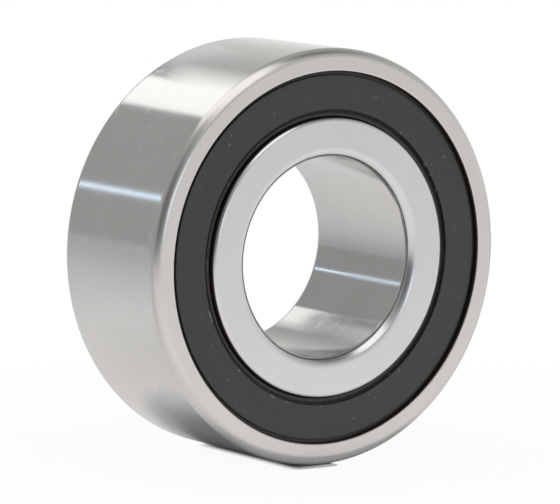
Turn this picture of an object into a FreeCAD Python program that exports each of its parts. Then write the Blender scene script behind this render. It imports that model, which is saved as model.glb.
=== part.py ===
"""Double row angular contact ball bearing, 25 x 52 x 20.6 mm, with a rubber seal on each side.

Millimetres. The bearing's axis is Y, its front side faces -Y, +Z is up, and the origin is its centre.
The rows stand back to back: each row's outer contacts lie nearer the middle than its inner ones.
"""
import FreeCAD, Part
import math
import os
import Sketcher

doc = FreeCAD.newDocument("angular_contact_bearing")
sizes = doc.addObject("Spreadsheet::Sheet", "Sizes")

# Driving dimensions. A depth is measured inwards from the side face of the rings.
DIMENSIONS = {
    "outside_diameter": 52.0,
    "bore_diameter": 25.0,
    "bearing_width": 20.6,
    "outside_corner": 1.3,
    "bore_corner": 1.3,
    "ball_diameter": 7.938,
    "balls_per_row": 10,
    "pitch_diameter": 38.5,
    "row_offset": 4.1,
    "contact_angle": 30.0,
    "groove_ratio": 0.52,
    "race_clearance": 0.03,
    "rib_diameter": 42.4,
    "land_diameter": 44.8,
    "recess_diameter": 46.3,
    "recess_edge": 0.3,
    "seal_groove_diameter": 47.5,
    "seal_groove_front": 0.8,
    "seal_groove_back": 1.45,
    "shoulder_diameter": 35.0,
    "shoulder_corner": 0.6,
    "waist_diameter": 32.4,
    "cage_inside_diameter": 36.0,
    "cage_rim_diameter": 43.2,
    "cage_claw_diameter": 42.2,
    "cage_rim_depth": 1.58,
    "cage_rim_length": 1.5,
    "cage_claw_reach": 1.9,
    "cage_slot_width": 1.5,
    "cage_slot_overrun": 1.0,
    "pocket_clearance": 0.1,
    "seal_front": 0.45,
    "seal_back": 1.32,
    "seal_edge_diameter": 45.4,
    "seal_edge_round": 0.12,
    "bead_diameter": 47.44,
    "bead_front": 0.85,
    "bead_inside_diameter": 45.1,
    "lip_step_diameter": 36.84,
    "lip_step_depth": 0.92,
    "lip_diameter": 35.1,
    "lip_band_inside": 35.24,
    "lip_band_outside": 36.0,
    "lip_band_depth": 0.8,
    "lip_edge_front": 0.95,
    "lip_edge_back": 1.18,
    "lip_root_diameter": 35.8,
    "washer_inside_diameter": 36.8,
    "washer_outside_diameter": 44.8,
    "washer_thickness": 0.3,
    "washer_flange_depth": 0.7,
}
for row, (alias, number) in enumerate(DIMENSIONS.items(), start=1):
    sizes.set(f"A{row}", alias)
    sizes.set(f"B{row}", str(number))
    sizes.setAlias(f"B{row}", alias)
doc.recompute()

FRONT = -1
REAR = 1
SIDES = {"front": FRONT, "rear": REAR}

# Lengths that follow from the driving dimensions, as expressions of the sheet.
HALF_WIDTH = "Sizes.bearing_width / 2"
GROOVE_RADIUS = "Sizes.groove_ratio * Sizes.ball_diameter"
GROOVE_SHIFT = f"({GROOVE_RADIUS} - Sizes.ball_diameter / 2 - Sizes.race_clearance)"
BALL_PITCH = "360 / Sizes.balls_per_row"

# A cut that takes away less than this, in cubic millimetres, has missed its part.
LEAST_CUT = 1.0
# The ball pockets take away at least this share of the cage's band.
LEAST_POCKET_SHARE = 0.2

parts = []


def value(expression):
    """The number that an expression of the sheet stands for."""
    return float(sizes.evalExpression(expression))


def radius(alias):
    """The radius that belongs to a diameter of the sheet."""
    return f"Sizes.{alias} / 2"


def inwards(side, alias):
    """The place along the axis of a depth below one side's ring faces."""
    return f"{side} * ({HALF_WIDTH} - Sizes.{alias})"


def new_body(label):
    """A body named for its sub-part, at the bearing's origin."""
    body = doc.addObject("PartDesign::Body", label)
    body.Label = label
    parts.append(body)
    return body


def origin_feature(body, role):
    """One plane or axis of the body's own origin."""
    return next(feature for feature in body.Origin.OriginFeatures if feature.Role == role)


def new_sketch(body, name):
    """An empty sketch on the plane that holds the axis: x is the radius, y the place along the axis."""
    sketch = body.newObject("Sketcher::SketchObject", name)
    sketch.AttachmentSupport = (origin_feature(body, "XY_Plane"), [""])
    sketch.MapMode = "FlatFace"
    return sketch


def place_point(sketch, geometry, point, across, along):
    """Hold a point of the sketch at two expressions of the sheet."""
    for direction, expression in (("DistanceX", across), ("DistanceY", along)):
        constraint = Sketcher.Constraint(direction, -1, 1, geometry, point, value(expression))
        index = sketch.addConstraint(constraint)
        sketch.setExpression(f"Constraints[{index}]", expression)


def polygon_sketch(body, name, corners):
    """A closed outline through corners given as pairs of expressions."""
    sketch = new_sketch(body, name)
    points = [FreeCAD.Vector(value(across), value(along), 0) for across, along in corners]
    count = len(points)
    for index in range(count):
        sketch.addGeometry(Part.LineSegment(points[index], points[(index + 1) % count]), False)
    for index in range(count):
        sketch.addConstraint(Sketcher.Constraint("Coincident", index, 2, (index + 1) % count, 1))
    for index, (across, along) in enumerate(corners):
        place_point(sketch, index, 1, across, along)
    return sketch


def circles_sketch(body, name, centres, radius_expression):
    """Circles of one radius, at centres given as pairs of expressions."""
    sketch = new_sketch(body, name)
    for across, along in centres:
        centre = FreeCAD.Vector(value(across), value(along), 0)
        circle = Part.Circle(centre, FreeCAD.Vector(0, 0, 1), value(radius_expression))
        geometry = sketch.addGeometry(circle, False)
        place_point(sketch, geometry, 3, across, along)
        index = sketch.addConstraint(Sketcher.Constraint("Radius", geometry, value(radius_expression)))
        sketch.setExpression(f"Constraints[{index}]", radius_expression)
    return sketch


def turn(body, name, kind, sketch):
    """A full turn of a sketch about the bearing's axis, kind being Revolution or Groove."""
    feature = body.newObject(f"PartDesign::{kind}", name)
    feature.Profile = sketch
    feature.ReferenceAxis = (sketch, ["V_Axis"])
    feature.Angle = 360
    doc.recompute()
    return feature


def circle_edges(feature, edges):
    """Names of the circular edges that have one of the given pairs of radius and place along the axis."""
    names = []
    for index, edge in enumerate(feature.Shape.Edges, start=1):
        if not isinstance(edge.Curve, Part.Circle):
            continue
        for edge_radius, along in edges:
            if math.isclose(edge.Curve.Radius, edge_radius, abs_tol=1e-4) \
                    and math.isclose(edge.Curve.Center.y, along, abs_tol=1e-4):
                names.append(f"Edge{index}")
    return names


def round_edges(body, name, base, edges, radius_alias):
    """Round the edges that lie at pairs of expressions: radius, place along the axis."""
    wanted = [(value(across), value(along)) for across, along in edges]
    names = circle_edges(base, wanted)
    if len(names) != len(edges):
        raise RuntimeError(f"{body.Label}: {name} found {len(names)} of {len(edges)} edges")
    fillet = body.newObject("PartDesign::Fillet", name)
    fillet.Base = (base, names)
    fillet.setExpression("Radius", f"Sizes.{radius_alias}")
    doc.recompute()
    return fillet


def both_faces(across):
    """An edge on the front ring face and its twin on the rear one."""
    return [(across, f"{side} * {HALF_WIDTH}") for side in SIDES.values()]


def raceway_centres(outwards):
    """Centres of the two raceways' arcs: set back from the ball's centre, away from the contact.

    outwards is 1 for the outer ring and -1 for the inner ring.
    """
    across = f"Sizes.pitch_diameter / 2 - {outwards} * {GROOVE_SHIFT} * cos(Sizes.contact_angle)"
    along = f"Sizes.row_offset + {outwards} * {GROOVE_SHIFT} * sin(Sizes.contact_angle)"
    return [(across, f"{side} * ({along})") for side in SIDES.values()]


def cut_raceways(body, base, outwards):
    """Turn both raceways into a ring, and check that they took metal away."""
    sketch = circles_sketch(body, "raceway_arcs", raceway_centres(outwards), GROOVE_RADIUS)
    groove = turn(body, "raceways", "Groove", sketch)
    if groove.Shape.Volume > base.Shape.Volume - LEAST_CUT:
        raise RuntimeError(f"{body.Label}: the raceways cut nothing")
    return groove


def make_outer_ring():
    """Outer ring: a rib between the rows, a low land beside each row and a seal groove at each end."""
    body = new_body("outer_ring")
    outside = radius("outside_diameter")
    corners = [(outside, f"{FRONT} * {HALF_WIDTH}"), (outside, HALF_WIDTH)]
    rear_half = [
        (radius("recess_diameter"), HALF_WIDTH),
        (radius("recess_diameter"), inwards(REAR, "seal_groove_front")),
        (radius("seal_groove_diameter"), inwards(REAR, "seal_groove_front")),
        (radius("seal_groove_diameter"), inwards(REAR, "seal_groove_back")),
        (radius("land_diameter"), inwards(REAR, "seal_groove_back")),
        (radius("land_diameter"), "Sizes.row_offset"),
        (radius("rib_diameter"), "Sizes.row_offset"),
    ]
    front_half = [(across, f"-1 * ({along})") for across, along in reversed(rear_half)]
    section = polygon_sketch(body, "ring_section", corners + rear_half + front_half)
    blank = turn(body, "blank", "Revolution", section)
    raceways = cut_raceways(body, blank, 1)
    corner = round_edges(body, "outside_corners", raceways, both_faces(outside), "outside_corner")
    round_edges(body, "recess_edges", corner, both_faces(radius("recess_diameter")), "recess_edge")


def make_inner_ring():
    """Inner ring: a high shoulder outside each row, a waist between the rows and a plain bore."""
    body = new_body("inner_ring")
    bore = radius("bore_diameter")
    shoulder = radius("shoulder_diameter")
    waist = radius("waist_diameter")
    rear_half = [
        (bore, HALF_WIDTH),
        (shoulder, HALF_WIDTH),
        (shoulder, "Sizes.row_offset"),
        (waist, "Sizes.row_offset"),
    ]
    front_half = [(across, f"-1 * ({along})") for across, along in reversed(rear_half)]
    section = polygon_sketch(body, "ring_section", rear_half + front_half)
    blank = turn(body, "blank", "Revolution", section)
    raceways = cut_raceways(body, blank, -1)
    corner = round_edges(body, "bore_corners", raceways, both_faces(bore), "bore_corner")
    round_edges(body, "shoulder_corners", corner, both_faces(shoulder), "shoulder_corner")


def row_angle(side, index):
    """Where a ball stands in its row, in degrees from +X. The rear row is half a pitch on."""
    stagger = 0.5 if side == REAR else 0
    return f"({index + stagger} * {BALL_PITCH})"


def make_balls(name, side):
    """One row of balls, each a sub-part of its own, on the pitch circle."""
    for index in range(int(value("Sizes.balls_per_row"))):
        label = f"{name}_ball_{index + 1:02d}"
        ball = doc.addObject("Part::Sphere", label)
        ball.Label = label
        ball.setExpression("Radius", radius("ball_diameter"))
        angle = row_angle(side, index)
        ball.setExpression("Placement.Base.x", f"Sizes.pitch_diameter / 2 * cos({angle})")
        ball.setExpression("Placement.Base.y", f"{side} * Sizes.row_offset")
        ball.setExpression("Placement.Base.z", f"Sizes.pitch_diameter / 2 * sin({angle})")
        parts.append(ball)


def make_cage(name, side):
    """Snap cage: a rim outside the row, ball pockets, and a slot between neighbouring pockets' claws."""
    body = new_body(f"{name}_cage")
    rim_end = f"({HALF_WIDTH} - Sizes.cage_rim_depth)"
    claw_end = "(Sizes.row_offset - Sizes.cage_claw_reach)"
    inside = radius("cage_inside_diameter")
    rim = radius("cage_rim_diameter")
    claw = radius("cage_claw_diameter")
    section = polygon_sketch(body, "band_section", [
        (inside, f"{side} * {claw_end}"),
        (claw, f"{side} * {claw_end}"),
        (claw, f"{side} * ({rim_end} - Sizes.cage_rim_length)"),
        (rim, f"{side} * ({rim_end} - Sizes.cage_rim_length)"),
        (rim, f"{side} * {rim_end}"),
        (inside, f"{side} * {rim_end}"),
    ])
    band = turn(body, "band", "Revolution", section)

    pocket = body.newObject("PartDesign::SubtractiveSphere", "pocket")
    pocket.setExpression("Radius", f"{radius('ball_diameter')} + Sizes.pocket_clearance")
    first = row_angle(side, 0)
    # The sphere's poles point along the radius and its seam towards the claws' open end, clear of the band.
    turned = math.radians(value(first))
    outward = FreeCAD.Vector(math.cos(turned), 0, math.sin(turned))
    seam = FreeCAD.Vector(0, -side, 0)
    pocket.Placement = FreeCAD.Placement(
        FreeCAD.Vector(), FreeCAD.Rotation(seam, FreeCAD.Vector(), outward, "ZXY"))
    pocket.setExpression("Placement.Base.x", f"Sizes.pitch_diameter / 2 * cos({first})")
    pocket.setExpression("Placement.Base.y", f"{side} * Sizes.row_offset")
    pocket.setExpression("Placement.Base.z", f"Sizes.pitch_diameter / 2 * sin({first})")
    doc.recompute()
    pockets = body.newObject("PartDesign::PolarPattern", "pockets")
    pockets.Originals = [pocket]
    pockets.Axis = (origin_feature(body, "Y_Axis"), [""])
    pockets.Angle = 360
    pockets.setExpression("Occurrences", "Sizes.balls_per_row")
    body.Tip = pockets
    doc.recompute()
    if pockets.Shape.Volume > (1 - LEAST_POCKET_SHARE) * band.Shape.Volume:
        raise RuntimeError(f"{body.Label}: the pockets cut too little")

    # The slot runs from the claws' tips to the row's plane, so that each claw can bend as a ball snaps in.
    slot = body.newObject("PartDesign::SubtractiveBox", "slot")
    slot.setExpression("Length", rim)
    slot.setExpression("Width", "Sizes.cage_claw_reach + Sizes.cage_slot_overrun")
    slot.setExpression("Height", "Sizes.cage_slot_width")
    half_pitch = f"({row_angle(side, 0)} + {BALL_PITCH} / 2)"
    start = f"{claw_end} - Sizes.cage_slot_overrun" if side == REAR else "-1 * Sizes.row_offset"
    slot.setExpression("Placement.Base.x", f"Sizes.cage_slot_width / 2 * sin({half_pitch})")
    slot.setExpression("Placement.Base.y", start)
    slot.setExpression("Placement.Base.z", f"-1 * Sizes.cage_slot_width / 2 * cos({half_pitch})")
    slot.setExpression("Placement.Rotation.Angle", f"-1 * {half_pitch}")
    slot.setExpression("Placement.Rotation.Axis.y", "1")
    slot.setExpression("Placement.Rotation.Axis.z", "0")
    doc.recompute()
    slots = body.newObject("PartDesign::PolarPattern", "slots")
    slots.Originals = [slot]
    slots.Axis = (origin_feature(body, "Y_Axis"), [""])
    slots.Angle = 360
    slots.setExpression("Occurrences", "Sizes.balls_per_row")
    body.Tip = slots
    doc.recompute()
    if slots.Shape.Volume > pockets.Shape.Volume - LEAST_CUT:
        raise RuntimeError(f"{body.Label}: the slots cut nothing")


def make_seal_washer(name, side):
    """Steel washer of one seal, with a short flange at its rim, turned towards the outside."""
    body = new_body(f"{name}_seal_washer")
    back = inwards(side, "seal_back")
    web = f"{side} * ({HALF_WIDTH} - Sizes.seal_back + Sizes.washer_thickness)"
    flange_end = inwards(side, "washer_flange_depth")
    inside = radius("washer_inside_diameter")
    outside = radius("washer_outside_diameter")
    flange = f"{outside} - Sizes.washer_thickness"
    section = polygon_sketch(body, "washer_section", [
        (inside, back),
        (outside, back),
        (outside, flange_end),
        (flange, flange_end),
        (flange, web),
        (inside, web),
    ])
    turn(body, "washer", "Revolution", section)


def make_seal_rubber(name, side):
    """Rubber of one seal: a bead in the ring's groove, a flat face, a fine step and a lip."""
    body = new_body(f"{name}_seal_rubber")
    front = inwards(side, "seal_front")
    back = inwards(side, "seal_back")
    bead_front = inwards(side, "bead_front")
    bead_back = inwards(side, "seal_groove_back")
    step = inwards(side, "lip_step_depth")
    band = inwards(side, "lip_band_depth")
    web = f"{side} * ({HALF_WIDTH} - Sizes.seal_back + Sizes.washer_thickness)"
    flange_end = inwards(side, "washer_flange_depth")
    washer_inside = radius("washer_inside_diameter")
    washer_outside = radius("washer_outside_diameter")
    washer_flange = f"{washer_outside} - Sizes.washer_thickness"
    edge = radius("seal_edge_diameter")
    step_radius = radius("lip_step_diameter")
    section = polygon_sketch(body, "seal_section", [
        (edge, front),
        (edge, bead_front),
        (radius("bead_diameter"), bead_front),
        (radius("bead_diameter"), bead_back),
        (radius("bead_inside_diameter"), bead_back),
        (radius("bead_inside_diameter"), back),
        (washer_outside, back),
        (washer_outside, flange_end),
        (washer_flange, flange_end),
        (washer_flange, web),
        (washer_inside, web),
        (washer_inside, back),
        (radius("lip_root_diameter"), back),
        (radius("lip_diameter"), inwards(side, "lip_edge_back")),
        (radius("lip_diameter"), inwards(side, "lip_edge_front")),
        (radius("lip_band_inside"), band),
        (radius("lip_band_outside"), band),
        (radius("lip_band_outside"), step),
        (step_radius, step),
        (step_radius, front),
    ])
    seal = turn(body, "seal", "Revolution", section)
    round_edges(body, "seal_edge", seal, [(edge, front)], "seal_edge_round")


def check_parts():
    """Stop if an object of the document failed, or a sub-part has no sound solid."""
    for item in doc.Objects:
        if "Invalid" in item.State or "Error" in item.State:
            raise RuntimeError(f"{item.Label}: {item.State}")
    for item in parts:
        shape = item.Shape
        if shape.isNull() or not shape.isValid() or len(shape.Solids) != 1:
            raise RuntimeError(f"{item.Label} is not one sound solid")


make_outer_ring()
make_inner_ring()
for side_name, side_sign in SIDES.items():
    make_balls(side_name, side_sign)
    make_cage(side_name, side_sign)
    make_seal_washer(side_name, side_sign)
    make_seal_rubber(side_name, side_sign)
doc.recompute()
check_parts()

os.makedirs("parts", exist_ok=True)
for item in parts:
    item.Shape.exportStep(f"parts/{item.Label}.step")
    print(f"{item.Label}: {item.Shape.Volume:.1f} mm3")
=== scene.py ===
"""Double row angular contact ball bearing with seals, 25 x 52 x 20.6 mm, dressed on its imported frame.

Metres. The bearing's axis is Y, its front side faces -Y, and its outer ring stands on the floor.
"""
import bpy
import math
from mathutils import Matrix, Vector


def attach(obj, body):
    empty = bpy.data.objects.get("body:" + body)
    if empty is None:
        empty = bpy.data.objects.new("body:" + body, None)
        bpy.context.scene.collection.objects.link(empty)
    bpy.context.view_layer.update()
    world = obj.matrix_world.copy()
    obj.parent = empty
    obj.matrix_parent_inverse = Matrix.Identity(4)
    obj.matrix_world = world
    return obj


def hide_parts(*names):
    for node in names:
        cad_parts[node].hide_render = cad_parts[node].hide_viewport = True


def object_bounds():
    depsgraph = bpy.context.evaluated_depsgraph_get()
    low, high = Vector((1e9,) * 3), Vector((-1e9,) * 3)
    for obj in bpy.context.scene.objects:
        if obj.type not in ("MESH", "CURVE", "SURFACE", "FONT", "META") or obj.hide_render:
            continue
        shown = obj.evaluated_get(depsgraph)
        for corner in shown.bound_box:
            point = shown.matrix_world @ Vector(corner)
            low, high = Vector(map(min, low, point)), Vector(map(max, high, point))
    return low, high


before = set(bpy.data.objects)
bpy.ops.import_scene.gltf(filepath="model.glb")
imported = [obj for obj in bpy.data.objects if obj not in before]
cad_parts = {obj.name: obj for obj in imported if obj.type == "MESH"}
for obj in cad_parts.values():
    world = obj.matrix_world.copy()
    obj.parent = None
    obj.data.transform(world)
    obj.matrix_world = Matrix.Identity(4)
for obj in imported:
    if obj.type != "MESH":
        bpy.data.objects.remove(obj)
cad_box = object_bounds()
scene = bpy.context.scene

MM = 0.001
FRONT = -1
REAR = 1
SIDES = {"front": FRONT, "rear": REAR}

# Sizes of the turned pieces in millimetres, as in the part's source.
# A depth is measured in from the side faces.
OUTSIDE_RADIUS = 26.0
BORE_RADIUS = 12.5
HALF_WIDTH = 10.3
OUTSIDE_CORNER = 1.3
BORE_CORNER = 1.3
SHOULDER_RADIUS = 17.5
SHOULDER_CORNER = 0.6
WAIST_RADIUS = 16.2
RIB_RADIUS = 21.2
LAND_RADIUS = 22.4
RECESS_RADIUS = 23.15
RECESS_EDGE = 0.3
SEAL_GROOVE_RADIUS = 23.75
SEAL_GROOVE_FRONT_DEPTH = 0.8
SEAL_GROOVE_BACK_DEPTH = 1.45

BALL_RADIUS = 3.969
BALL_CLEARANCE = 0.03
PITCH_RADIUS = 19.25
ROW_OFFSET = 4.1
CONTACT_ANGLE = math.radians(30)
RACEWAY_RATIO = 0.52
RACEWAY_RADIUS = RACEWAY_RATIO * 2 * BALL_RADIUS
RACEWAY_SHIFT = RACEWAY_RADIUS - BALL_RADIUS - BALL_CLEARANCE

SEAL_RADIUS = 22.7
SEAL_FACE_DEPTH = 0.45
SEAL_BACK_DEPTH = 1.32
BEAD_RADIUS = 23.72
BEAD_INSIDE_RADIUS = 22.55
BEAD_FRONT_DEPTH = 0.85
WASHER_RADIUS = 22.4
WASHER_FLANGE_RADIUS = 22.1
WASHER_FLANGE_DEPTH = 0.7
WASHER_WEB_DEPTH = 1.02
WASHER_INSIDE_RADIUS = 18.4
LIP_RADIUS = 17.55
LIP_FRONT_DEPTH = 0.95
LIP_BACK_DEPTH = 1.18
LIP_ROOT_RADIUS = 17.9
LIP_BAND_RADII = (17.62, 18.0)
LIP_BAND_DEPTH = 0.8
LIP_STEP_RADIUS = 18.42
LIP_STEP_DEPTH = 0.92


# ---------------------------------------------------------------- node trees


def operator(operation, reflected=False):
    """A Python operator that adds one Math node."""
    def apply(self, other):
        pair = (other, self) if reflected else (self, other)
        return self.tree.math(operation, *pair)
    return apply


class Field:
    """A socket of a node tree, on which Python's operators work."""

    def __init__(self, tree, socket):
        self.tree = tree
        self.socket = socket

    __add__ = __radd__ = operator("ADD")
    __mul__ = __rmul__ = operator("MULTIPLY")
    __sub__ = operator("SUBTRACT")
    __rsub__ = operator("SUBTRACT", reflected=True)
    __truediv__ = operator("DIVIDE")


class Tree:
    """A node tree as it is being written."""

    def __init__(self, owner):
        self.tree = owner
        self.tree.nodes.clear()

    def node(self, kind, settings=None, inputs=None, output=0):
        """A new node: its settings first, then its sockets' values and links. Gives one of its outputs."""
        made = self.tree.nodes.new(kind)
        for name, setting in (settings or {}).items():
            setattr(made, name, setting)
        for key, value in (inputs or {}).items():
            if isinstance(value, Field):
                self.tree.links.new(value.socket, made.inputs[key])
            else:
                made.inputs[key].default_value = value
        return None if output is None else Field(self, made.outputs[output])

    def several(self, kind, outputs, inputs=None):
        """A new node of which several outputs are used."""
        made = self.node(kind, inputs=inputs, output=outputs[0]).socket.node
        return [Field(self, made.outputs[output]) for output in outputs]

    def math(self, operation, *values):
        return self.node("ShaderNodeMath", {"operation": operation}, dict(enumerate(values)))

    def distance(self, across, along):
        """How far apart two points are, from two steps at a right angle."""
        return self.math("SQRT", across * across + along * along)

    def split(self, vector):
        return self.several("ShaderNodeSeparateXYZ", range(3), {0: vector})

    def join(self, x, y, z):
        return self.node("ShaderNodeCombineXYZ", inputs={0: x, 1: y, 2: z})

    def ramp(self, value, low, high, start=0.0, end=1.0, form="SMOOTHSTEP"):
        """start below low, end above high, and a smooth change between them."""
        settings = {"interpolation_type": form}
        return self.node("ShaderNodeMapRange", settings, {0: value, 1: low, 2: high, 3: start, 4: end})

    def mix(self, share, first, second):
        """A colour between two, each a tuple or a socket."""
        settings = {"data_type": "RGBA"}
        return self.node("ShaderNodeMix", settings, {0: share, 6: colour(first), 7: colour(second)}, 2)

    def noise(self, place, scale, detail=2.0, roughness=0.5):
        inputs = {"Vector": place, "Scale": scale, "Detail": detail, "Roughness": roughness}
        return self.node("ShaderNodeTexNoise", inputs=inputs)

    def bump(self, height, distance):
        """A normal from a height, which counts in multiples of a distance in metres."""
        return self.node("ShaderNodeBump", inputs={"Height": height, "Distance": distance, "Strength": 1.0})


def colour(value):
    return value if isinstance(value, Field) else (*value, 1.0)


def finish(name, build):
    """A material whose surface is what build adds to its tree."""
    material = bpy.data.materials.new(name)
    material.use_nodes = True
    tree = Tree(material.node_tree)
    tree.node("ShaderNodeOutputMaterial", inputs={"Surface": build(tree)}, output=None)
    return material


class Turned:
    """Places on a turned piece: along the axis, out from it and round it."""

    def __init__(self, tree):
        self.tree = tree
        self.place = tree.node("ShaderNodeTexCoord", output="Object")
        self.x, self.y, self.z = tree.split(self.place)
        self.radius = tree.distance(self.x, self.z)
        self.across = self.x / self.radius
        self.up = self.z / self.radius

    def depth(self):
        """How far in from the nearer side face."""
        return HALF_WIDTH * MM - self.tree.math("ABSOLUTE", self.y)

    def close_to(self, radius, near, far):
        """1 nearer than near to a radius, and 0 beyond far. The radius is in millimetres."""
        gap = self.tree.math("ABSOLUTE", self.radius - radius * MM)
        return self.tree.ramp(gap, near, far, 1.0, 0.0)

    def lines(self, spacing, around, of=None, detail=2.0, roughness=0.5):
        """Streaks that run round the axis, spaced along it, or along another value.

        around is how often they break.
        """
        along = (self.y if of is None else of) * (1 / spacing)
        place = self.tree.join(self.across * around, along, self.up * around)
        return self.tree.noise(place, 1.0, detail, roughness)


# ---------------------------------------------------------------- finishes


# A ground surface's finish is full nearer to it than the first distance, and gone beyond the second.
GROUND_FADE = (0.004 * MM, 0.03 * MM)
LAND_TINT = (1.0, 0.988, 0.969)
SCUFFED_STEEL = (0.8, 0.79, 0.78)
# The nearly black brown of the painted shade in the recesses under the seals.
RECESS_SHADE_STEEL = (0.075, 0.058, 0.05)
TONE_SHARES = (0.86, 1.14)  # how dark and how light a steel's tone makes its colour


def ring_steel(name, land, shaded_between, tones, side_tint, land_roughness, line_depths, wear):
    """Bearing steel, hard and bright.

    land is the radius of the ground cylinder, where the ring meets its seat. Turned walls in the recesses
    under the seals change between the two radii shaded_between from bright to a painted shade: a nearly black
    colour, and rougher. tones are the brightness of the land and of the rest, whose
    colour is side_tint. line_depths is how deep the land's grinding lines are, in millimetres, towards the
    front side and towards the rear. wear is how plain the land's scuffs are.
    """
    def build(tree):
        at = Turned(tree)
        face = tree.ramp(at.depth(), *GROUND_FADE, 1.0, 0.0)
        seat = at.close_to(land, *GROUND_FADE)
        rest = (1 - face) * (1 - seat)
        # Painted shade: the walls in the recesses under the seals take a nearly black brown colour, and are
        # rougher too.
        dull = tree.ramp(at.radius, *(radius * MM for radius in shaded_between)) * rest
        corner = rest - dull
        grind = at.lines(0.22 * MM, 7.0, detail=3.0, roughness=0.65)
        wide_grind = at.lines(0.5 * MM, 2.0, detail=3.0)
        face_grind = at.lines(0.07 * MM, 7.0, of=at.radius, detail=3.0)
        grain = tree.noise(at.place, 9000.0, 3.0, 0.6)
        cloud = tree.noise(at.place, 160.0, 3.0, 0.55)
        scuff_noise = tree.noise(tree.join(at.x * 420, at.y * 520, at.z * 520), 1.0, 5.0, 0.68)
        scuff = tree.ramp(scuff_noise, 0.54, 0.68) * tree.ramp(cloud, 0.46, 0.58) * seat * wear
        tone = (
            0.5
            + (wide_grind - 0.5) * 0.20
            + (grind - 0.5) * seat * 0.22
            + (cloud - 0.5) * 0.16
            + (face_grind - 0.5) * face * 0.12
        )
        land_metal, side_metal = (
            tree.mix(tone, *([part * level * share for part in tint] for share in TONE_SHARES))
            for level, tint in zip(tones, (LAND_TINT, side_tint))
        )
        metal = tree.mix(scuff * 0.35, tree.mix(seat, side_metal, land_metal), SCUFFED_STEEL)
        roughness = (
            land_roughness
            + face * 0.17
            + corner * 0.13
            + dull * 0.4
            + (cloud - 0.5) * 0.05
            + scuff * 0.12
        )
        line_depth = tree.ramp(at.y, 1.0 * MM, 3.0 * MM, *line_depths)
        height = grind * seat * line_depth + face_grind * face * 0.003 + grain * (0.0009 + face * 0.0026)
        return tree.node("ShaderNodeBsdfPrincipled", inputs={
            "Base Color": tree.mix(dull, metal, RECESS_SHADE_STEEL),
            "Metallic": 1.0,
            "Roughness": roughness,
            "Normal": tree.bump(height, MM),
        })
    return finish(name, build)


DARK_RUBBER = (0.030, 0.0288, 0.0276)
PALE_RUBBER = (0.056, 0.0535, 0.0505)
RUBBER_DUST = (0.20, 0.20, 0.21)
# The near black of the painted shade deep in the lip's groove.
GROOVE_SHADE_BLACK = (0.012, 0.010, 0.009)


def seal_rubber_finish():
    """Moulded rubber, matt, dark grey and finely grained, with some dust and a few rubs, a little paler low
    down on the right by painted light, and with painted shade in the groove by its lip.
    """
    def build(tree):
        at = Turned(tree)
        depth = at.depth()
        grain = tree.noise(at.place, 3600.0, 3.0, 0.7)
        mottle = tree.noise(at.place, 420.0, 5.0, 0.65)
        flow = at.lines(0.5 * MM, 3.0, of=at.radius, detail=3.0)
        dust_cell = tree.node("ShaderNodeTexVoronoi", {"feature": "F1"}, {"Vector": at.place, "Scale": 620.0})
        dust = tree.ramp(dust_cell, 0.06, 0.16, 1.0, 0.0) * tree.ramp(mottle, 0.50, 0.60)
        rub_noise = tree.noise(tree.join(at.x * 2200, at.y * 900, at.z * 260), 1.0, 2.0, 0.5)
        rub = tree.ramp(rub_noise, 0.70, 0.76) * tree.ramp(mottle, 0.46, 0.56)
        lip_edge = at.close_to(LIP_STEP_RADIUS + 0.1, 0.08 * MM, 0.2 * MM)
        nick = tree.ramp(tree.noise(at.place, 1100.0, 2.0, 0.6), 0.61, 0.68) * lip_edge
        light = tree.math("MAXIMUM", tree.math("MAXIMUM", dust * 0.55, rub * 0.35), nick)
        tone = 0.5 + (mottle - 0.5) * 1.6 + (flow - 0.5) * 0.7 + (grain - 0.5) * 1.2
        # Painted light: the rubber is painted a little paler low down on the right, where light bounces up
        # from the floor.
        painted_floor_light = tree.ramp(at.z * 0.87 - at.x * 0.5, -0.022, 0.012, 1.0, 0.0)
        body = tree.mix(tone + painted_floor_light * 0.36, DARK_RUBBER, PALE_RUBBER)
        surface = tree.node("ShaderNodeBsdfPrincipled", inputs={
            "Base Color": tree.mix(light, body, RUBBER_DUST),
            "Roughness": 0.52 + (grain - 0.5) * 0.3 + (mottle - 0.5) * 0.3,
            "Normal": tree.bump(grain * 0.7 + mottle * 0.6 + flow * 0.3, 0.03 * MM),
        })
        # Painted shade: deep inside the lip's step the rubber is mixed towards a near black matt surface,
        # more so below the band, standing in for the shade down in the groove; the grease shader is this
        # painted shade.
        inside_step = tree.ramp(
            at.radius, (LIP_STEP_RADIUS - 0.06) * MM, (LIP_STEP_RADIUS + 0.01) * MM, 1.0, 0.0,
        )
        below_face = tree.ramp(depth, (SEAL_FACE_DEPTH + 0.05) * MM, (SEAL_FACE_DEPTH + 0.17) * MM)
        below_band = tree.ramp(depth, (LIP_BAND_DEPTH + 0.02) * MM, (LIP_STEP_DEPTH - 0.02) * MM)
        film = inside_step * below_face * (0.08 + below_band * 0.42)
        grease = tree.node("ShaderNodeBsdfDiffuse", inputs={0: colour(GROOVE_SHADE_BLACK)})
        return tree.node("ShaderNodeMixShader", inputs={0: film, 1: surface, 2: grease})
    return finish("moulded_seal_rubber", build)


def washer_finish():
    """Stamped sheet steel with rolling marks and a dull grey skin."""
    def build(tree):
        place = tree.node("ShaderNodeTexCoord", output="Object")
        x, y, z = tree.split(place)
        rolling = tree.noise(tree.join(x * 300, y * 300, z * 9000), 1.0, 3.0)
        skin = tree.noise(place, 700.0, 4.0, 0.6)
        return tree.node("ShaderNodeBsdfPrincipled", inputs={
            "Base Color": tree.mix(rolling * 0.5 + skin * 0.5, (0.40, 0.40, 0.41), (0.58, 0.58, 0.59)),
            "Metallic": 1.0,
            "Roughness": 0.28 + skin * 0.16,
            "Normal": tree.bump(rolling * 0.6 + skin * 0.4, 0.004 * MM),
        })
    return finish("stamped_washer_steel", build)


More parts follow.
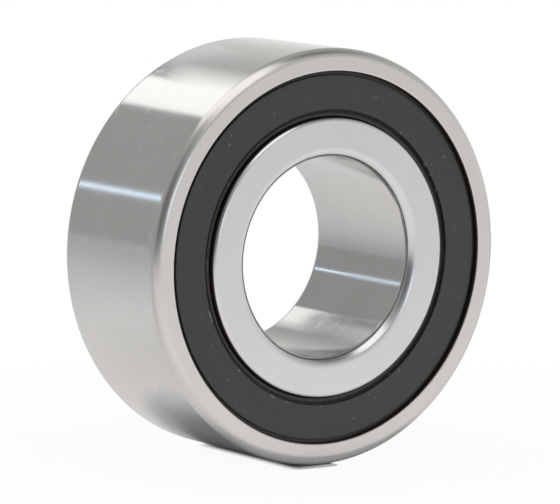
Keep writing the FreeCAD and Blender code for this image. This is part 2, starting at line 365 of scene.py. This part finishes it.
def cage_finish():
    """Natural glass filled polyamide: cream, faintly streaked by the flow of the fibres."""
    def build(tree):
        at = Turned(tree)
        fibres = at.lines(0.12 * MM, 9.0, detail=3.0)
        flow = tree.noise(at.place, 260.0, 4.0, 0.6)
        grain = tree.noise(at.place, 6000.0, 2.0)
        return tree.node("ShaderNodeBsdfPrincipled", inputs={
            "Base Color": tree.mix(flow * 0.6 + fibres * 0.4, (0.58, 0.50, 0.35), (0.78, 0.73, 0.60)),
            "Roughness": 0.38 + fibres * 0.12,
            "Normal": tree.bump(fibres * 0.5 + grain * 0.5, 0.006 * MM),
        })
    return finish("natural_cage_polyamide", build)


def ball_finish():
    """Lapped steel, almost a mirror, with hair lines in no direction and a thin film of grease."""
    def build(tree):
        place = tree.node("ShaderNodeTexCoord", output="Object")
        hair = tree.noise(place, 14000.0, 2.0)
        film = tree.noise(place, 500.0, 4.0, 0.6)
        return tree.node("ShaderNodeBsdfPrincipled", inputs={
            "Base Color": tree.mix(film, (0.72, 0.72, 0.73), (0.82, 0.82, 0.83)),
            "Metallic": 1.0,
            "Roughness": 0.03 + tree.ramp(film, 0.45, 0.75) * 0.10,
            "Normal": tree.bump(hair, 0.0006 * MM),
        })
    return finish("lapped_ball_steel", build)


outer_steel = ring_steel(
    "ground_outer_ring_steel",
    land=OUTSIDE_RADIUS,
    shaded_between=(RECESS_RADIUS + 0.15, RECESS_RADIUS + 0.09),
    tones=(0.64, 0.635),
    side_tint=(1.0, 0.975, 0.945),
    land_roughness=0.11,
    line_depths=(0.007, 0.007),
    wear=1.0,
)
inner_steel = ring_steel(
    "ground_inner_ring_steel",
    land=BORE_RADIUS,
    shaded_between=(SHOULDER_RADIUS - 0.2, SHOULDER_RADIUS - 0.08),
    tones=(0.56, 0.655),
    side_tint=(0.99, 0.99, 0.995),
    land_roughness=0.08,
    line_depths=(0.013, 0.005),
    wear=0.25,
)
seal_rubber = seal_rubber_finish()
node_finishes = {"washer": washer_finish(), "cage": cage_finish(), "ball": ball_finish()}


# ---------------------------------------------------------------- turned pieces


class Section:
    """A turned piece's closed outline. A point is a radius and a place along the axis, in millimetres."""

    SUPPORT = 0.05  # a rounded corner's straight neighbours keep a point this near, so that flats stay flat
    ARC_STEP = math.radians(5.5)

    def __init__(self):
        self.corners = []

    def corner(self, radius, along, rounding=0.0):
        self.corners.append((Vector((radius, along)), rounding))

    def arc(self, centre, radius, start, end):
        """Points along an arc between two angles."""
        steps = max(2, math.ceil(abs(end - start) / self.ARC_STEP))
        for step in range(steps + 1):
            angle = start + (end - start) * step / steps
            self.corner(centre[0] + radius * math.cos(angle), centre[1] + radius * math.sin(angle))
        return self

    def points(self):
        """The outline with its corners rounded, anticlockwise, so that the turned faces point outwards."""
        outline = []
        count = len(self.corners)
        for index, (here, rounding) in enumerate(self.corners):
            if not rounding:
                outline.append(here)
                continue
            to_last = (self.corners[index - 1][0] - here).normalized()
            to_next = (self.corners[(index + 1) % count][0] - here).normalized()
            half = to_last.angle(to_next) / 2
            reach = rounding / math.tan(half)
            centre = here + (to_last + to_next).normalized() * rounding / math.sin(half)
            start, end = here + to_last * reach, here + to_next * reach
            outline.append(start + to_last * self.SUPPORT)
            sweep = (start - centre).angle_signed(end - centre)
            steps = math.ceil(abs(sweep) / self.ARC_STEP)
            for step in range(steps + 1):
                outline.append(centre + Matrix.Rotation(-sweep * step / steps, 2) @ (start - centre))
            outline.append(end + to_next * self.SUPPORT)
        area = sum(a.cross(b) for a, b in zip(outline, outline[1:] + outline[:1]))
        return outline if area > 0 else outline[::-1]


def turning_tree():
    """Geometry nodes that turn a closed outline about the Y axis."""
    group = bpy.data.node_groups.new("turn_outline", "GeometryNodeTree")
    for name, kind in (
        ("Outline", "NodeSocketGeometry"),
        ("Segments", "NodeSocketInt"),
        ("Middle Radius", "NodeSocketFloat"),
        ("Finish", "NodeSocketMaterial"),
    ):
        group.interface.new_socket(name, in_out="INPUT", socket_type=kind)
    group.interface.new_socket("Turned", in_out="OUTPUT", socket_type="NodeSocketGeometry")
    tree = Tree(group)
    outline, segments, middle, material = tree.several("NodeGroupInput", range(4))
    # The circle carries the outline out to the middle radius, so the outline first moves in by as much.
    inwards = tree.join(middle * -1, 0.0, 0.0)
    centred = tree.node("GeometryNodeTransform", inputs={"Geometry": outline, "Translation": inwards})
    profile = tree.node("GeometryNodeMeshToCurve", inputs={0: centred})
    circle = tree.node("GeometryNodeCurvePrimitiveCircle", inputs={"Resolution": segments, "Radius": middle})
    ring = tree.node("GeometryNodeCurveToMesh", inputs={"Curve": circle, "Profile Curve": profile})
    upright = (math.radians(90), 0.0, 0.0)
    turned = tree.node("GeometryNodeTransform", inputs={"Geometry": ring, "Rotation": upright})
    smooth = tree.node("GeometryNodeSetShadeSmooth", inputs={"Geometry": turned})
    real = tree.node("GeometryNodeRealizeInstances", inputs={"Geometry": smooth})
    made = tree.node("GeometryNodeSetMaterial", inputs={"Geometry": real, "Material": material})
    tree.node("NodeGroupOutput", inputs={0: made}, output=None)
    return group


TURNING = turning_tree()


def plain_piece(name, source, group, values):
    """The result of a geometry node group on a mesh, as a plain mesh object."""
    maker = bpy.data.objects.new(name + "_maker", source)
    scene.collection.objects.link(maker)
    modifier = maker.modifiers.new("make", "NODES")
    modifier.node_group = group
    sockets = {item.name: item.identifier for item in group.interface.items_tree if item.in_out == "INPUT"}
    for socket, value in values.items():
        modifier[sockets[socket]] = value
    evaluated = maker.evaluated_get(bpy.context.evaluated_depsgraph_get())
    mesh = bpy.data.meshes.new_from_object(evaluated)
    mesh.name = name
    maker.modifiers.clear()
    bpy.data.objects.remove(maker)
    piece = bpy.data.objects.new(name, mesh)
    scene.collection.objects.link(piece)
    return piece


SHARP_ANGLE = math.radians(28)


def turned_piece(name, section, material, segments):
    """A turned mesh from a section, with sharp edges where the section has sharp corners."""
    points = section.points()
    count = len(points)
    source = bpy.data.meshes.new(name + "_outline")
    source.from_pydata(
        [(p.x * MM, p.y * MM, 0.0) for p in points],
        [(index, (index + 1) % count) for index in range(count)],
        [],
    )
    middle = sum(p.x for p in points) / count * MM
    values = {"Segments": segments, "Middle Radius": middle, "Finish": material}
    piece = plain_piece(name, source, TURNING, values)
    piece.data.set_sharp_from_angle(angle=SHARP_ANGLE)
    return piece


def raceway(side, outwards, start_radius, end_radius):
    """One raceway's points, from the land or shoulder by its deepest point to the rib or waist in the middle.

    outwards is 1 in the outer ring and -1 in the inner ring.
    """
    shift = outwards * RACEWAY_SHIFT
    centre = (
        PITCH_RADIUS - shift * math.cos(CONTACT_ANGLE),
        side * (ROW_OFFSET + shift * math.sin(CONTACT_ANGLE)),
    )
    start, end = (math.acos((radius - centre[0]) / RACEWAY_RADIUS) for radius in (start_radius, end_radius))
    # The arc runs through the angle 0 in the outer ring, and through half a turn in the inner ring.
    turn = 0.0 if outwards > 0 else math.tau
    return Section().arc(centre, RACEWAY_RADIUS, side * start, side * (turn - end)).corners


def outer_ring_section():
    """The outer ring: its seat, and on each side a recess, a seal groove, a land and a raceway."""
    section = Section()
    section.corner(OUTSIDE_RADIUS, -HALF_WIDTH, OUTSIDE_CORNER)
    section.corner(OUTSIDE_RADIUS, HALF_WIDTH, OUTSIDE_CORNER)
    steps = [
        (RECESS_RADIUS, HALF_WIDTH, RECESS_EDGE),
        (RECESS_RADIUS, HALF_WIDTH - SEAL_GROOVE_FRONT_DEPTH, 0.0),
        (SEAL_GROOVE_RADIUS, HALF_WIDTH - SEAL_GROOVE_FRONT_DEPTH, 0.0),
        (SEAL_GROOVE_RADIUS, HALF_WIDTH - SEAL_GROOVE_BACK_DEPTH, 0.0),
        (LAND_RADIUS, HALF_WIDTH - SEAL_GROOVE_BACK_DEPTH, 0.0),
    ]
    for radius, along, rounding in steps:
        section.corner(radius, along, rounding)
    rear, front = (raceway(side, 1, LAND_RADIUS, RIB_RADIUS) for side in (REAR, FRONT))
    section.corners += rear + front[::-1]
    for radius, along, rounding in reversed(steps):
        section.corner(radius, -along, rounding)
    return section


def inner_ring_section():
    """The inner ring: its bore, and on each side a shoulder and a raceway."""
    section = Section()
    section.corner(BORE_RADIUS, HALF_WIDTH, BORE_CORNER)
    section.corner(BORE_RADIUS, -HALF_WIDTH, BORE_CORNER)
    section.corner(SHOULDER_RADIUS, -HALF_WIDTH, SHOULDER_CORNER)
    front, rear = (raceway(side, -1, SHOULDER_RADIUS, WAIST_RADIUS) for side in (FRONT, REAR))
    section.corners += front + rear[::-1]
    section.corner(SHOULDER_RADIUS, HALF_WIDTH, SHOULDER_CORNER)
    return section


def seal_section(side):
    """The rubber of one seal: its bead in the ring's groove, its seat on the washer, its lip and its face."""
    section = Section()
    for radius, depth, rounding in (
        (SEAL_RADIUS, SEAL_FACE_DEPTH, 0.12),
        (SEAL_RADIUS, BEAD_FRONT_DEPTH, 0.0),
        (BEAD_RADIUS, BEAD_FRONT_DEPTH, 0.1),
        (BEAD_RADIUS, SEAL_GROOVE_BACK_DEPTH, 0.1),
        (BEAD_INSIDE_RADIUS, SEAL_GROOVE_BACK_DEPTH, 0.0),
        (BEAD_INSIDE_RADIUS, SEAL_BACK_DEPTH, 0.0),
        (WASHER_RADIUS, SEAL_BACK_DEPTH, 0.0),
        (WASHER_RADIUS, WASHER_FLANGE_DEPTH, 0.0),
        (WASHER_FLANGE_RADIUS, WASHER_FLANGE_DEPTH, 0.0),
        (WASHER_FLANGE_RADIUS, WASHER_WEB_DEPTH, 0.0),
        (WASHER_INSIDE_RADIUS, WASHER_WEB_DEPTH, 0.0),
        (WASHER_INSIDE_RADIUS, SEAL_BACK_DEPTH, 0.0),
        (LIP_ROOT_RADIUS, SEAL_BACK_DEPTH, 0.0),
        (LIP_RADIUS, LIP_BACK_DEPTH, 0.04),
        (LIP_RADIUS, LIP_FRONT_DEPTH, 0.05),
        (LIP_BAND_RADII[0], LIP_BAND_DEPTH, 0.05),
        (LIP_BAND_RADII[1], LIP_BAND_DEPTH, 0.04),
        (LIP_BAND_RADII[1], LIP_STEP_DEPTH, 0.0),
        (LIP_STEP_RADIUS, LIP_STEP_DEPTH, 0.0),
        (LIP_STEP_RADIUS, SEAL_FACE_DEPTH, 0.06),
    ):
        section.corner(radius, side * (HALF_WIDTH - depth), rounding)
    return section


outer_ring = turned_piece("outer_ring_turned", outer_ring_section(), outer_steel, segments=448)
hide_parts("outer_ring")
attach(outer_ring, "outer_ring_with_seals")

inner_ring = turned_piece("inner_ring_turned", inner_ring_section(), inner_steel, segments=384)
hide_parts("inner_ring")
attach(inner_ring, "inner_ring")

for side_name, side in SIDES.items():
    seal = turned_piece(f"{side_name}_seal_moulding", seal_section(side), seal_rubber, segments=400)
    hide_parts(f"{side_name}_seal_rubber")
    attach(seal, "outer_ring_with_seals")

for name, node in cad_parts.items():
    for word, material in node_finishes.items():
        if word in name:
            for material_slot in node.material_slots:
                material_slot.material = material


# ---------------------------------------------------------------- floor, room and lamps

FLOOR_REACH = 4.0
# How white metal and glass see the floor: near the bearing, and far off on the left and on the right.
NEAR_WHITE = 1.14
FAR_WHITES = (0.57, 0.87)
NEAR_DISTANCE = 0.14  # metres over which the near white falls off
WHITE = (1.0, 1.0, 1.0)
WARM_WHITE = (1.0, 0.97, 0.955)
BOARD_SHADES = ((0.83, 0.86, 0.90), (0.87, 0.90, 0.94))
# Under the bearing metal sees the board itself: its half length there, and how softly that ends.
FOOT_HALF = 0.014
FOOT_FADE = 0.0075
# The eye sees the board within these distances of the ring's foot, and a little of its shadow around.
CONTACT_FADE = (0.0040, 0.0062)
SHADOW_FADE = (0.03, 0.09)
SHADOW_CLEAR = 0.95


def flat_face(name, corners):
    """An object of one face with four corners."""
    mesh = bpy.data.meshes.new(name)
    mesh.from_pydata(corners, [], [(0, 1, 2, 3)])
    made = bpy.data.objects.new(name, mesh)
    scene.collection.objects.link(made)
    return made


def glowing_finish(name, build):
    """A finish that gives off light, and is no lamp to the render."""
    material = finish(name, build)
    material.cycles.emission_sampling = "NONE"
    return material


def ray_kinds(tree):
    """Whether a ray is the eye's own, and whether it comes off metal or through glass."""
    kinds = ("Is Camera Ray", "Is Glossy Ray", "Is Transmission Ray")
    camera, glossy, transmission = tree.several("ShaderNodeLightPath", kinds)
    return camera, tree.math("MAXIMUM", glossy, transmission)


def floor_surface(tree):
    """Pale matt board, which the eye, metal and glass see white away from the bearing."""
    x, y, _ = tree.split(tree.node("ShaderNodeTexCoord", output="Object"))
    off_centre = tree.distance(x, y)
    before = tree.math("MAXIMUM", tree.math("ABSOLUTE", y) - HALF_WIDTH * MM, 0.0)
    beside = tree.math("MAXIMUM", tree.math("ABSOLUTE", x) - FOOT_HALF, 0.0) * 0.7
    open_floor = tree.ramp(tree.distance(beside, before), 0.0, FOOT_FADE)
    aside = tree.math("MAXIMUM", x * -1.0, x * 5.0)
    contact = tree.math("SQRT", aside * aside + before * before * 30.0)
    clear_floor = tree.ramp(contact, *CONTACT_FADE)
    wide_floor = tree.ramp(off_centre, *SHADOW_FADE, SHADOW_CLEAR, 1.0)
    # Painted light: metal and glass see a warmer, brighter pool of white near the bearing that falls off to a
    # dimmer white far off, dimmer on the left. Painted shadow: that white is dimmed down to 0.84 between the
    # planes of the ring's sides and up to 35 mm out from them.
    reach = off_centre * tree.ramp(y, -0.02, 0.02, 0.5, 1.6)
    near = tree.math("EXPONENT", reach * (-1 / NEAR_DISTANCE))
    far = tree.ramp(x, -0.25, 0.6, *FAR_WHITES, form="LINEAR")
    brightness = (far + (NEAR_WHITE - far) * near) * tree.ramp(before, 0.0, 0.035, 0.84, 1.0)
    camera, seen = ray_kinds(tree)
    tint = tree.mix(near * seen, WHITE, WARM_WHITE)
    white = tree.node("ShaderNodeEmission", inputs={0: tint, 1: camera + (1 - camera) * brightness})
    grain = tree.noise(tree.join(x, y, 0.0), 900.0, 3.0)
    board = tree.node("ShaderNodeBsdfDiffuse", inputs={0: tree.mix(grain, *BOARD_SHADES)})
    share = camera * clear_floor * wide_floor + seen * open_floor * 0.95
    return tree.node("ShaderNodeMixShader", inputs={0: share, 1: board, 2: white})


floor_level = cad_box[0].z
floor = flat_face("floor", [
    (across * FLOOR_REACH, along * FLOOR_REACH, floor_level)
    for across, along in ((-1, -1), (1, -1), (1, 1), (-1, 1))
])
floor.data.materials.append(glowing_finish("pale_floor_board", floor_surface))


ROOM_GREY = 0.445
WALL_GREY = 0.485
ROOM_TINT = (1.0, 0.995, 0.98)
DARK_TINT = (0.41, 0.43, 0.46)
# Darker places of the room: the direction, the angles at which each begins and is full, and how dark it is.
DARK_PLACES = (
    ((-0.784, -0.603, 0.151), 42.0, 14.0, 1.0),
    ((0.48, -0.25, 0.84), 20.0, 8.0, 0.85),
)


def room(tree):
    """A pale grey studio with a bright wall on the right and two darker places."""
    direction = tree.node("ShaderNodeTexCoord", output="Generated")
    x, _, z = tree.split(direction)
    wall = tree.ramp(z, 0.0, 0.68, WALL_GREY, 0.0, form="LINEAR") * tree.ramp(x, -0.15, 0.45)

    def darkness(centre, outer, inner, share):
        """How dark one darker place is in this direction."""
        inputs = {0: direction, 1: centre}
        closeness = tree.node("ShaderNodeVectorMath", {"operation": "DOT_PRODUCT"}, inputs, "Value")
        return tree.ramp(closeness, math.cos(math.radians(outer)), math.cos(math.radians(inner))) * share

    dark = tree.math("MAXIMUM", *(darkness(*place) for place in DARK_PLACES))
    shade = tree.mix(dark, ROOM_TINT, DARK_TINT)
    camera, seen = ray_kinds(tree)
    below = tree.ramp(z, -0.01, 0.0, 1.0, 0.0) * seen
    backdrop = tree.math("MAXIMUM", camera, below)
    lit = tree.node("ShaderNodeBackground", inputs={"Color": shade, "Strength": wall + ROOM_GREY})
    white = tree.node("ShaderNodeBackground", inputs={"Color": colour(WHITE), "Strength": 1.0})
    return tree.node("ShaderNodeMixShader", inputs={0: backdrop, 1: lit, 2: white})


world = bpy.data.worlds.new("studio")
world.use_nodes = True
scene.world = world
world_tree = Tree(world.node_tree)
world_tree.node("ShaderNodeOutputWorld", inputs={"Surface": room(world_tree)}, output=None)


def lamp(name, place, size, radiance, along, tint=WHITE, behind=None):
    """A flat lamp, its first side along a direction. Its back is towards behind, or it faces the bearing."""
    data = bpy.data.lights.new(name, "AREA")
    data.shape = "RECTANGLE"
    data.size, data.size_y = size
    data.energy = math.pi * size[0] * size[1] * radiance
    data.color = tint
    made = bpy.data.objects.new(name, data)
    away = Vector(behind or place).normalized()
    along = Vector(along)
    along = (along - away * along.dot(away)).normalized()
    turn = Matrix((along, away.cross(along), away)).transposed()
    made.matrix_world = Matrix.Translation(place) @ turn.to_4x4()
    made.visible_camera = False
    scene.collection.objects.link(made)
    return made


def softbox(name, start, end, width, fade):
    """A long softbox overhead that looks straight down, from start to end.

    Its brightness fades in across its width, and is full from the share fade on.
    """
    start, end = Vector(start), Vector(end)
    size = (end - start).length, width
    made = lamp(name, (start + end) / 2, size, radiance=1.0, along=end - start, behind=(0.0, 0.0, 1.0))
    made.data.use_nodes = True
    tree = Tree(made.data.node_tree)
    _, across, _ = tree.split(tree.node("ShaderNodeNewGeometry", output="Parametric"))
    strength = tree.ramp(across, 0.0, fade, form="LINEAR")
    emission = tree.node("ShaderNodeEmission", inputs={0: colour(WHITE), 1: strength})
    tree.node("ShaderNodeOutputLight", inputs={0: emission}, output=None)


softbox("rear_softbox", (-0.121, 0.18, 0.5), (0.169, 0.95, 0.5), width=0.318, fade=0.47)
softbox("front_softbox", (-0.17, 0.2, 0.5), (0.125, -0.875, 0.5), width=0.38, fade=0.15)
strip_start, strip_end = Vector((-0.54, 1.02, 0.30)), Vector((-1.02, 0.456, 0.456))
strip_run = strip_end - strip_start
lamp(
    "strip_light", (strip_start + strip_end) / 2, (strip_run.length, 0.021),
    radiance=2.1, along=strip_run, tint=(0.60, 0.80, 1.0),
)
lamp(
    "front_panel", (0.01, -1.2, 0.11), (0.5, 0.18),
    radiance=1.2, along=(1.0, 0.0, 0.0), tint=(0.72, 0.86, 1.0),
)

# A small grey card that glows stands behind the bearing, below the rear softbox, where only metal sees it, as
# a reflection.
# From the camera's side it shows only in the front half of the bore.
CARD_PLACE = 0.06
CARD_CORNERS = ((0.027, 0.028), (-0.004, 0.0342), (-0.004, 0.058), (0.027, 0.052))
CARD_GREY = 0.34


def card_surface(tree):
    """Grey card that glows, more brightly towards its upper corner on the right."""
    x, _, z = tree.split(tree.node("ShaderNodeTexCoord", output="Object"))
    light = tree.ramp(z, 0.034, 0.039, 0.08, 0.46) * tree.ramp(x, 0.0, 0.012)
    return tree.node("ShaderNodeEmission", inputs={0: colour(WHITE), 1: light + CARD_GREY})


card = flat_face("grey_card", [(across, CARD_PLACE, height) for across, height in CARD_CORNERS])
for ray in ("camera", "diffuse", "transmission", "volume_scatter", "shadow"):
    setattr(card, f"visible_{ray}", False)
card.data.materials.append(glowing_finish("grey_card", card_surface))


# ---------------------------------------------------------------- camera

AZIMUTH = math.radians(-35.456)
ELEVATION = math.radians(7.803)
DISTANCE = 0.53384
FOCAL_LENGTH = 273.18
SENSOR_WIDTH = 36.0
# How far the camera stands left of the line to the bearing's centre, and below it.
ASIDE = 0.0002106
BELOW = 0.0003692

back = Vector((
    math.sin(AZIMUTH) * math.cos(ELEVATION),
    -math.cos(AZIMUTH) * math.cos(ELEVATION),
    math.sin(ELEVATION),
))
right = Vector((math.cos(AZIMUTH), math.sin(AZIMUTH), 0.0))
up = back.cross(right)
camera_data = bpy.data.cameras.new("camera")
camera_data.sensor_width = SENSOR_WIDTH
camera_data.lens = FOCAL_LENGTH
camera = bpy.data.objects.new("camera", camera_data)
stand = back * DISTANCE - right * ASIDE - up * BELOW
camera.matrix_world = Matrix.Translation(stand) @ Matrix((right, up, back)).transposed().to_4x4()
scene.collection.objects.link(camera)
scene.camera = camera

scene.view_settings.view_transform = "Standard"
